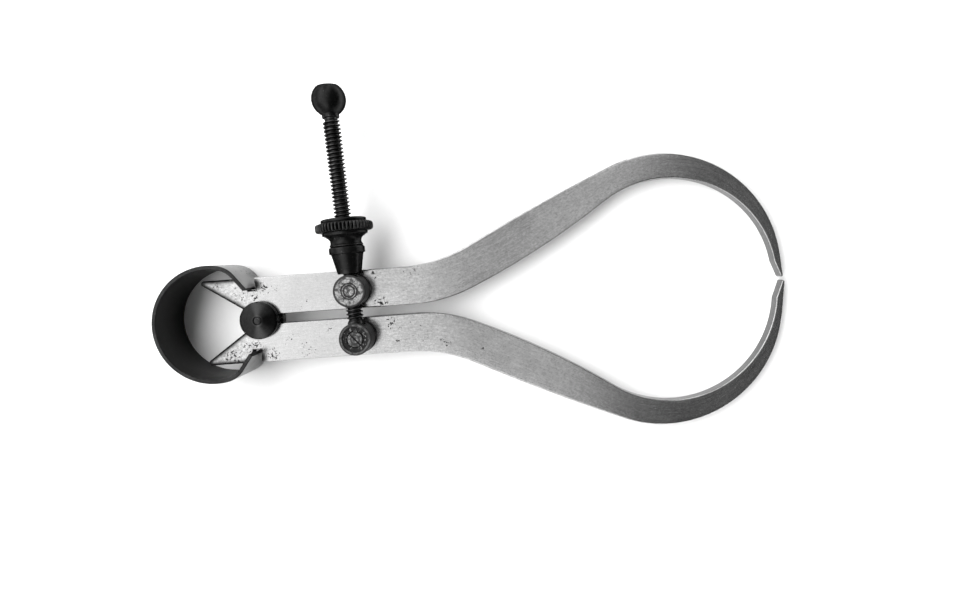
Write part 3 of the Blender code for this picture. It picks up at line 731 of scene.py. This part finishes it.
def leg_grain(inner, outer, tip, outline, normals, shift):
    """For each point of the outline: its place in the grain map, which way the map goes down
    the wall there, and the rounding of its edge.  u runs along the leg, v across it.
    """
    rows = len(inner)
    ends = rows + len(tip)
    middle_v = (LEG_INNER_Y + LEG_OUTER_Y) / 2 + shift
    inner_u, outer_u = inner[0][0], outer[0][0]
    inner_uv, outer_uv = [], []
    for row in range(rows):
        if row:
            inner_u += math.dist(inner[row - 1], inner[row])
            outer_u += math.dist(outer[row - 1], outer[row])
        half = math.dist(inner[row], outer[row]) / 2
        mean = (inner_u + outer_u) / 2
        ease = min(row / GRAIN_EASE, 1.0)
        inner_uv.append((inner_u + (mean - inner_u) * ease, middle_v - half))
        outer_uv.append((outer_u + (mean - outer_u) * ease, middle_v + half))
    tip_uv = (inner_uv[-1][0] + 0.3 * MM, middle_v)
    flat, ways, edges = [], [], []
    for index, point in enumerate(outline):
        edge = LEG_EDGE
        if index < rows:
            flat.append(inner_uv[index])
            ways.append((0.0, -1.0))
        elif index < ends:
            flat.append(tip_uv)
            ways.append((1.0, 0.0))
        elif index < ends + rows:
            row = ends + rows - 1 - index
            flat.append(outer_uv[row])
            ways.append((0.0, 1.0))
            ease = min((rows - 1 - row) / ROWS_NIB, 1.0) * min(row / GRAIN_EASE, 1.0)
            edge += (BOW_OUTER_EDGE - LEG_EDGE) * ease
        else:
            flat.append((point[0], point[1] + shift))
            ways.append(tuple(normals[index][0]))
        edges.append(edge)
    return flat, ways, edges


def make_leg(name, side, shape, node, post):
    """One leg, with a grid over its curved part so that the grain follows the bow."""
    low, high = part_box(node)
    inner, outer, tip = leg_lines(shape)
    rows = len(inner)
    ends = rows + len(tip)
    outline = inner + tip + outer[::-1] + leg_back()
    count = len(outline)
    normals = [outward(outline, index) for index in range(count)]
    shift = 0.0 if side > 0 else 0.1           # keeps the two legs' grain different
    flat, ways, edges = leg_grain(inner, outer, tip, outline, normals, shift)

    bm = bmesh.new()
    face = grain_mapper(bm)
    rings = []
    for step in range(2 * EDGE_STEPS + 2):
        over = step <= EDGE_STEPS              # on the upper edge, not the lower one
        turn = math.radians(90 / EDGE_STEPS * (step if over else 2 * EDGE_STEPS + 1 - step))
        ring = []
        for index, point in enumerate(outline):
            direction, mitre = normals[index]
            edge = edges[index]
            spot = Vector(point) - direction * edge * (1 - math.sin(turn)) * mitre
            fall = edge * (1 - math.cos(turn))
            height = high.z - fall if over else low.z + fall
            depth = edge * EDGE_STEP_ARC * min(step, EDGE_STEPS)
            if not over:
                depth += high.z - low.z - 2 * edge
                depth += edge * EDGE_STEP_ARC * (step - EDGE_STEPS - 1)
            place = (flat[index][0] + ways[index][0] * depth,
                     flat[index][1] + ways[index][1] * depth)
            ring.append((bm.verts.new((spot.x, side * spot.y, height)), place))
        rings.append(ring)
    for upper, lower in zip(rings, rings[1:]):
        for index in range(count):
            after = (index + 1) % count
            face([upper[index], lower[index], lower[after], upper[after]])

    for ring in (rings[0], rings[-1]):
        rim = [(vertex, flat[index]) for index, (vertex, _) in enumerate(ring)]
        lines = []
        for row in range(rows):
            start = rim[row]
            end = rim[ends + rows - 1 - row]
            line = [start]
            for column in range(1, COLUMNS):
                share = column / COLUMNS
                line.append((bm.verts.new(start[0].co.lerp(end[0].co, share)),
                             tuple(Vector(start[1]).lerp(Vector(end[1]), share))))
            lines.append(line + [end])
        for here, there in zip(lines, lines[1:]):
            for column in range(COLUMNS):
                face([here[column], there[column], there[column + 1], here[column + 1]])
        face(lines[-1][:1] + rim[rows:ends] + lines[-1][:0:-1])
        face(rim[ends + rows - 1:] + lines[0][:-1])
    bmesh.ops.recalc_face_normals(bm, faces=bm.faces)
    leg = make_object(name, bm)
    drill(leg, STEM_HOLE_RADIUS, 0.02, Matrix.Translation((post.x, post.y, low.z)))
    dress(leg, ground_steel(name + "_ground", "upper" if side > 0 else "lower"), node)


# -------- spring

def spring_line():
    """Middle of the strip from the back of the spring to its end at +Y."""
    normal = Vector(polar((0, 0), 1.0, SPRING_END_HEADING + 90))
    bend = SPRING_END_BEND_RADIUS
    reach = SPRING_MID_RADIUS - bend
    offset = Vector(SPRING_END).dot(normal) - bend - SPRING_CENTRE_X * normal.x
    leave = SPRING_END_HEADING + 90 + math.degrees(math.acos(offset / reach))
    points = [(SPRING_CENTRE_X - SPRING_MID_RADIUS, 0.0)]
    arc_to(points, polar((SPRING_CENTRE_X, 0), SPRING_MID_RADIUS, leave), leave - 180, 90)
    bend_centre = polar((SPRING_CENTRE_X, 0), reach, leave)
    arc_to(points, polar(bend_centre, bend, SPRING_END_HEADING + 90),
           SPRING_END_HEADING + 90 - leave, 24)
    points.append(SPRING_END)
    return points


def make_spring():
    """Strip on edge, swept round the C with rounded edges."""
    low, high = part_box("bow_spring")
    half_width = (high.z - low.z) / 2
    middle_z = (high.z + low.z) / 2
    half = spring_line()
    line = [(x, -y) for x, y in reversed(half)] + half[1:]
    section, around = [], [0.0]
    for corner in range(4):
        side_x = 1 if corner in (0, 3) else -1
        side_z = 1 if corner < 2 else -1
        for step in range(5):
            angle = math.radians(90 * corner + 22.5 * step)
            section.append((side_x * (SPRING_THICKNESS / 2 - SPRING_EDGE)
                            + SPRING_EDGE * math.cos(angle),
                            side_z * (half_width - SPRING_EDGE)
                            + SPRING_EDGE * math.sin(angle)))
    for here, there in zip(section, section[1:] + section[:1]):
        around.append(around[-1] + math.dist(here, there))

    bm = bmesh.new()
    face = grain_mapper(bm)
    rings, along = [], [0.0]
    for index, point in enumerate(line):
        before = line[max(index - 1, 0)]
        after = line[min(index + 1, len(line) - 1)]
        run = (Vector(after) - Vector(before)).normalized()
        across = Vector((-run.y, run.x))
        if index:
            along.append(along[-1] + math.dist(line[index - 1], point))
        ring = []
        for offset, height in section:
            spot = Vector(point) + across * offset
            ring.append(bm.verts.new((spot.x, spot.y, middle_z + height)))
        rings.append(ring)
    for here, there, start, end in zip(rings, rings[1:], along, along[1:]):
        for step, (low_v, high_v) in enumerate(zip(around, around[1:])):
            after = (step + 1) % len(section)
            face(((here[step], (start, low_v)), (here[after], (start, high_v)),
                  (there[after], (end, high_v)), (there[step], (end, low_v))))
    bm.faces.new(rings[0])
    bm.faces.new(rings[-1])
    bmesh.ops.recalc_face_normals(bm, faces=bm.faces)
    spring = make_object("spring_strip", bm)
    outer_from = around[len(section) - 5]
    dress(spring, blued_steel("spring_blued", half_width, middle_z, outer_from), "bow_spring")
    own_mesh(spring)


# -------- fulcrum

def make_fulcrum():
    """Flanged stud, roller and crowned cap with its riveted centre."""
    cap_low, cap_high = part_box("fulcrum_cap")
    stud_low, stud_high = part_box("fulcrum_stud")
    roller_low, roller_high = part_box("fulcrum_roller")
    head = cap_high.x
    flange_z = 1.9 * MM
    shank = 2.4 * MM
    bore = 2.7 * MM
    rivet = 1.05 * MM
    rim_z = cap_high.z - 0.8 * MM
    stud = turned("stud_body", [
        (0.0, stud_low.z), (head, stud_low.z), (head, flange_z), (shank, flange_z),
        (shank, roller_high.z), (rivet, roller_high.z), (rivet, stud_high.z - 0.12 * MM),
        (rivet * 0.6, stud_high.z - 0.02 * MM), (0.0, stud_high.z)], edge=0.3 * MM)
    dress(stud, black_turned("stud_black", worn=0.5), "fulcrum_stud")
    roller = turned("pivot_roller", [
        (bore, roller_low.z), (roller_high.x, roller_low.z),
        (roller_high.x, roller_high.z), (bore, roller_high.z)], edge=0.2 * MM, closed=True)
    dress(roller, black_turned("roller_black"), "fulcrum_roller")
    hole = rivet + 0.06 * MM
    cap = turned("pivot_cap", [
        (hole, cap_low.z), (head, cap_low.z), (head, rim_z), (4.6 * MM, rim_z + 0.20 * MM),
        (2.0 * MM, rim_z + 0.70 * MM), (hole, cap_high.z)],
        edge=0.3 * MM, closed=True)
    dress(cap, brushed_cap("cap_turned"), "fulcrum_cap")


# -------- posts

def screw_axes(upper, lower, screw_z):
    """Matrix with its origin on the lower post and its Z along the screw."""
    run = Vector((upper.x - lower.x, upper.y - lower.y, 0.0)).normalized()
    lean = math.atan2(-run.x, run.y)
    turn = Matrix.Rotation(lean, 4, "Z") @ Matrix.Rotation(-math.pi / 2, 4, "X")
    return Matrix.Translation((lower.x, lower.y, screw_z)) @ turn


def make_washer(name, node, centre):
    low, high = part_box(node)
    radius = (high.x - low.x) / 2
    item = turned(name, [(2.55 * MM, low.z), (radius, low.z), (radius, high.z),
                         (2.55 * MM, high.z)], edge=0.15 * MM, closed=True)
    item.location = (centre.x, centre.y, 0.0)
    dress(item, black_turned(name + "_black", worn=0.5), node)


def make_post(name, node, centre, top, material, axes):
    """Post with its riveted stem below the leg and its cross bore for the screw.
    top is the profile of its top face, in mm.
    """
    low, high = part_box(node)
    radius = (high.x - low.x) / 2
    washer_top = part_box(node + "_washer")[1].z
    under_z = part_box(node + "_rivet_washer")[0].z - 0.05 * MM
    body_z = washer_top + 0.3 * MM
    item = turned(name, [
        (0.0, low.z), (1.6 * MM, low.z), (3.3 * MM, low.z + 0.35 * MM), (3.3 * MM, under_z),
        (2.4 * MM, under_z), (2.4 * MM, body_z), (radius, body_z), (radius, high.z),
    ] + raised(high.z, top), edge=0.22 * MM)
    item.location = (centre.x, centre.y, 0.0)
    bpy.context.view_layer.update()
    drill(item, BORE_RADIUS, 0.02, axes)
    dress(item, material, node)


def make_posts(upper, lower, axes):
    """Both posts, their washers, and the slotted screw that holds the adjusting screw."""
    grooved = ((2.35, 0.0), (2.2, -0.16), (2.05, 0.0), (1.75, 0.0), (1.6, -0.16),
               (1.4, -0.02), (0.7, 0.0), (0.0, 0.0))
    recessed = ((3.62, 0.0), (3.5, -0.28), (2.4, -0.28), (2.35, -0.6), (1.3, -0.6),
                (1.3, -3.6), (0.0, -3.6))
    top_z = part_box("post_upper")[1].z
    make_post("upper_post_body", "post_upper", upper, grooved,
              worn_top("upper_post_worn", top_z, 4.05 * MM, 0.72, (2.2 * MM, 1.5 * MM)), axes)
    make_post("lower_post_body", "post_lower", lower, recessed,
              worn_top("lower_post_worn", top_z, 4.3 * MM, 0.14, (3.5 * MM,)), axes)
    for label, node, centre in (("upper_post_washer", "post_upper_washer", upper),
                                ("lower_post_washer", "post_lower_washer", lower),
                                ("upper_rivet_washer", "post_upper_rivet_washer", upper),
                                ("lower_rivet_washer", "post_lower_rivet_washer", lower)):
        make_washer(label, node, centre)

    low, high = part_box("anchor_screw")
    head_z = high.z - 0.35 * MM
    pin = turned("slotted_anchor", [
        (0.0, low.z), (0.6 * MM, low.z), (1.0 * MM, low.z + 0.4 * MM), (1.0 * MM, head_z),
        (2.1 * MM, head_z), (2.1 * MM, high.z - 0.05 * MM), (1.2 * MM, high.z),
        (0.0, high.z)], edge=0.14 * MM, steps=64)
    pin.location = (lower.x, lower.y, 0.0)
    bpy.context.view_layer.update()
    slot = bmesh.new()
    bmesh.ops.create_cube(slot, size=1.0)
    bmesh.ops.scale(slot, vec=(6 * MM, 0.5 * MM, 0.5 * MM), verts=slot.verts)
    subtract(pin, slot, Matrix.Translation((lower.x, lower.y, high.z))
             @ Matrix.Rotation(math.radians(-50), 4, "Z"))
    dress(pin, worn_top("anchor_worn", high.z, 2.25 * MM, 0.30, (1.2 * MM,)), "anchor_screw")


# -------- screw, nut and ball

def make_screw(axes, steps=32):
    """Screw with a plain shank, a thread with flat crests, a neck and a riveted end."""
    pitch = SCREW_PITCH
    helices = ((0.0, SCREW_ROOT_RADIUS), (0.13, SCREW_ROOT_RADIUS), (0.42, SCREW_CREST_RADIUS),
               (0.58, SCREW_CREST_RADIUS), (0.87, SCREW_ROOT_RADIUS))
    bm = bmesh.new()

    def spot(radius, height, step):
        angle = 2 * math.pi * step / steps
        return bm.verts.new((radius * math.cos(angle), radius * math.sin(angle), height))

    def ring(radius, height):
        return [spot(radius, height, step) for step in range(steps)]

    def close_end(last, sizes):
        for radius, height in sizes:
            following = ring(radius, height)
            bridge(bm, last, following)
            last = following
        bm.faces.new(last)

    total = steps * SCREW_TURNS
    lines = []
    for share, radius in helices:
        extra = steps if share == 0.0 else 0
        lines.append([spot(radius, THREAD_START + pitch * (step / steps + share), step)
                      for step in range(total + extra + 1)])
    for step in range(total):
        for lower, upper in zip(lines, lines[1:]):
            bm.faces.new((lower[step], lower[step + 1], upper[step + 1], upper[step]))
        bm.faces.new((lines[-1][step], lines[-1][step + 1],
                      lines[0][step + 1 + steps], lines[0][step + steps]))
    neck_start = THREAD_START + (SCREW_TURNS + 1) * pitch
    shank = ring(SHANK_RADIUS, THREAD_START - 0.2 * MM)
    neck = ring(SCREW_ROOT_RADIUS, neck_start + 0.2 * MM)
    for step in range(steps):
        after = (step + 1) % steps
        bm.faces.new((shank[step], shank[after], lines[0][step + 1], lines[0][step]))
        bm.faces.new((lines[0][total + step], lines[0][total + step + 1], neck[after],
                      neck[step]))
    bm.faces.new([shank[0]] + [line[0] for line in lines] + [lines[0][steps]])
    bm.faces.new([lines[0][total]] + [line[-1] for line in lines[1:]]
                 + [lines[0][-1], neck[0]])
    close_end(shank, ((SHANK_RADIUS, SHANK_START + 0.25 * MM),
                      (SHANK_RADIUS - 0.25 * MM, SHANK_START)))
    rivet_start = BALL_CENTRE - BALL_RADIUS * 0.75
    rivet_end = BALL_CENTRE + BALL_FLAT
    close_end(neck, ((SCREW_ROOT_RADIUS, rivet_start), (BALL_RIVET_RADIUS, rivet_start),
                     (BALL_RIVET_RADIUS, rivet_end - 0.1 * MM),
                     (BALL_RIVET_RADIUS - 0.2 * MM, rivet_end)))
    bmesh.ops.recalc_face_normals(bm, faces=bm.faces)
    screw = make_object("threaded_screw", bm, sharp_angle=34.0)
    screw.matrix_world = axes
    dress(screw, black_turned("screw_black", worn=0.45, anisotropic=0.2), "adjusting_screw")


def make_ball(axes):
    """Ball with a short collar towards the thread and a flat, recessed far end."""
    collar = 2.35 * MM
    near = -math.degrees(math.acos(collar / BALL_RADIUS))
    far = math.degrees(math.asin(BALL_FLAT / BALL_RADIUS))
    hole = BALL_RIVET_RADIUS + 0.05 * MM
    rim = polar((0, 0), BALL_RADIUS, far)[0]
    profile = [(hole, -BALL_RADIUS * 0.74), (hole, BALL_FLAT - 0.25 * MM),
               (rim * 0.72, BALL_FLAT - 0.25 * MM), (rim * 0.8, BALL_FLAT)]
    for step in range(33):
        profile.append(polar((0, 0), BALL_RADIUS, far + (near - far) * step / 32))
    profile += [(collar, -BALL_RADIUS - 0.35 * MM),
                (SCREW_ROOT_RADIUS + 0.05 * MM, -BALL_RADIUS - 0.35 * MM),
                (SCREW_ROOT_RADIUS + 0.05 * MM, -BALL_RADIUS * 0.74)]
    ball = turned("stop_ball", profile, edge=0.18 * MM, closed=True)
    ball.matrix_world = axes @ Matrix.Translation((0.0, 0.0, BALL_CENTRE))
    dress(ball, black_turned("ball_black", worn=0.3), "ball_stop")


def make_sleeve(axes):
    """Cone that bears on the upper post, with a collar and a tapered socket for the nut."""
    start, end = SLEEVE_START, SLEEVE_END
    collar = end - SLEEVE_COLLAR
    sleeve = turned("cone_sleeve", [
        (BORE_RADIUS, start), (3.3 * MM, start), (4.45 * MM, collar - 0.1 * MM),
        (4.9 * MM, collar), (4.95 * MM, collar + 0.2 * MM), (4.95 * MM, end - 0.3 * MM),
        (4.75 * MM, end), (3.75 * MM, end), (3.3 * MM, end - 3.1 * MM),
        (BORE_RADIUS, end - 3.1 * MM)], edge=0.18 * MM, closed=True)
    sleeve.matrix_world = axes
    dress(sleeve, black_turned("sleeve_black", worn=0.3), "thrust_sleeve")


def make_nut(axes):
    """Nut with a waist and bead, a flange, a rim of rounded teeth and a thin outer flange."""
    tooth_foot = 7.15 * MM
    bore = BORE_RADIUS / MM
    top = KNURL_RADIUS / MM

    def teeth(radius, angle):
        share = max(0.0, (radius - tooth_foot) / (KNURL_RADIUS - tooth_foot))
        valley = 1.0 - abs(math.sin(KNURL_TEETH * angle / 2))
        return 0.55 * MM * min(share, 1.0) * valley ** 1.3

    waist = ((bore, -2.8), (3.0, -2.8), (3.4, 0.0), (4.5, 0.0), (4.68, 0.35), (4.4, 0.75),
             (4.25, 1.2), (4.35, 1.8), (4.75, 2.4), (5.5, 2.95), (6.25, 3.3), (6.3, 4.0))
    rim = ((7.2, 4.1), (7.7, 4.3), (top, 4.75), (top, 5.95), (7.7, 6.4), (7.2, 6.6))
    flange = ((6.1, 6.7), (6.25, 6.95), (6.25, 7.5), (5.9, 7.75), (4.4, 7.75), (4.1, 7.55),
              (3.1, 7.55), (bore, 7.3))
    nut = turned("knurled_wheel", raised(NUT_START, waist + rim + flange), edge=0.14 * MM,
                 closed=True, steps=KNURL_TEETH * 10, ripple=teeth)
    nut.matrix_world = axes
    dress(nut, black_turned("nut_black", worn=0.3), "knurled_nut")


# -------- stage, light and camera

def make_floor():
    """Pale sheet, flat under the spring and rising gently to the tips that rest on it."""
    spring_low, spring_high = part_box("bow_spring")
    leg_low, leg_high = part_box("leg_upper")
    base_z = spring_low.z - 0.02 * MM
    slope = (leg_low.z - base_z) / (leg_high.x - spring_high.x)
    columns = [-FLOOR_REACH]
    for step in range(FLOOR_BEND_STEPS + 1):
        columns.append(spring_high.x + FLOOR_BEND * step / FLOOR_BEND_STEPS)
    columns.append(FLOOR_REACH)
    bm = bmesh.new()
    last = None
    for x in columns:
        past = x - spring_high.x
        rise = slope * min(max(past, 0.0), FLOOR_BEND) ** 2 / (2 * FLOOR_BEND)
        rise += slope * max(past - FLOOR_BEND, 0.0)
        pair = [bm.verts.new((x, y, base_z + rise)) for y in (-FLOOR_REACH, FLOOR_REACH)]
        if last:
            bm.faces.new((last[0], pair[0], pair[1], last[1]))
        last = pair
    floor = meshed("table_top", bm)
    floor.data.shade_smooth()
    s = Shader("white_table")
    grain = s.noise(s.place(), 900.0, 3.0)
    floor.data.materials.append(
        s.finish(Base_Color=s.grey(s.plus(grain, 0.03, 0.70)), Roughness=0.8))


def make_key_light():
    """Large soft key light, which metal doesn't mirror."""
    data = bpy.data.lights.new("key_softbox", "AREA")
    data.shape = "ELLIPSE"
    data.size = KEY_WIDTH
    data.size_y = KEY_HEIGHT
    data.energy = KEY_POWER
    lamp = linked("key_softbox", data)
    lamp.location = KEY_PLACE
    aim = Vector(KEY_TARGET) - Vector(KEY_PLACE)
    lamp.rotation_euler = aim.to_track_quat("-Z", "Y").to_euler()
    lamp.visible_glossy = False


def make_sky():
    """Studio sky, bright at the upper left and dim at the right, and plain white to the eye."""
    world = bpy.data.worlds.new("studio")
    bpy.context.scene.world = world
    world.use_nodes = True
    sky = Nodes(world.node_tree)
    background = sky.tree.nodes["Background"]
    x, y, z = sky.split(sky.add("TexCoord").outputs["Generated"])
    lean = sky.times(sky.math("SIGN", x), SKY_LEAN)
    sideways = sky.math("ADD", x, sky.times(y, lean))
    slope = sky.math("DIVIDE", sideways, sky.math("MAXIMUM", z, 0.05))
    ramp = sky.add("ValToRGB")
    sky.feed(ramp.inputs[0], sky.plus(slope, SKY_SLOPE_GAIN, 0.5))
    stops = ramp.color_ramp.elements
    while len(stops) < len(SKY_LEVELS):
        stops.new(0.5)
    for stop, (position, level) in zip(stops, SKY_LEVELS):
        stop.position = position
        stop.color = (level, level, level, 1.0)
    seen = sky.add("LightPath").outputs["Is Camera Ray"]
    colour = sky.add("Mix", data_type="RGBA")
    sky.feed(colour.inputs[0], seen)
    sky.feed(colour.inputs[6], ramp.outputs[0])
    sky.feed(colour.inputs[7], (1.0, 1.0, 1.0, 1.0))
    sky.fill(background, Color=colour.outputs[2],
             Strength=sky.mix(seen, sky.plus(y, 0.35, 1.0), 1.0))


def make_camera():
    data = bpy.data.cameras.new("camera")
    data.lens = CAMERA_LENS
    data.sensor_width = SENSOR_WIDTH
    data.sensor_fit = "HORIZONTAL"
    data.clip_start = 0.005
    camera = linked("camera", data)
    camera.location = CAMERA_PLACE
    camera.rotation_euler = [math.radians(angle) for angle in CAMERA_TURN]
    bpy.context.scene.camera = camera
    bpy.context.scene.view_settings.view_transform = "Standard"


def centre_of(node):
    low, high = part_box(node)
    return (low + high) / 2


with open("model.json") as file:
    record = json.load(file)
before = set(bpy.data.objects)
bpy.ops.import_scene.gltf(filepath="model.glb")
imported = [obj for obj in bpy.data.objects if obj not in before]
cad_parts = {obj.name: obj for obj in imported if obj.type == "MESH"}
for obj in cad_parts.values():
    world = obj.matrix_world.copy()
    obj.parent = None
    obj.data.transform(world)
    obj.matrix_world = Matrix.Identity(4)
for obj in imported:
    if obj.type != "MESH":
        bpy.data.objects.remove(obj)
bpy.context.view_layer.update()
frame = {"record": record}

upper_axis = centre_of("post_upper_washer")
lower_axis = centre_of("post_lower_washer")
screw_matrix = screw_axes(upper_axis, lower_axis, centre_of("thrust_sleeve").z)
post_span = (Vector(upper_axis.xy) - Vector(lower_axis.xy)).length
nut_matrix = screw_matrix @ Matrix.Translation((0.0, 0.0, post_span))

make_leg("upper_leg", 1, TIP_UPPER, "leg_upper", upper_axis)
make_leg("lower_leg", -1, TIP_LOWER, "leg_lower", lower_axis)
make_spring()
make_fulcrum()
make_posts(upper_axis, lower_axis, screw_matrix)
make_screw(screw_matrix)
make_ball(screw_matrix)
make_sleeve(nut_matrix)
make_nut(nut_matrix)
make_floor()
make_sky()
make_key_light()
make_camera()
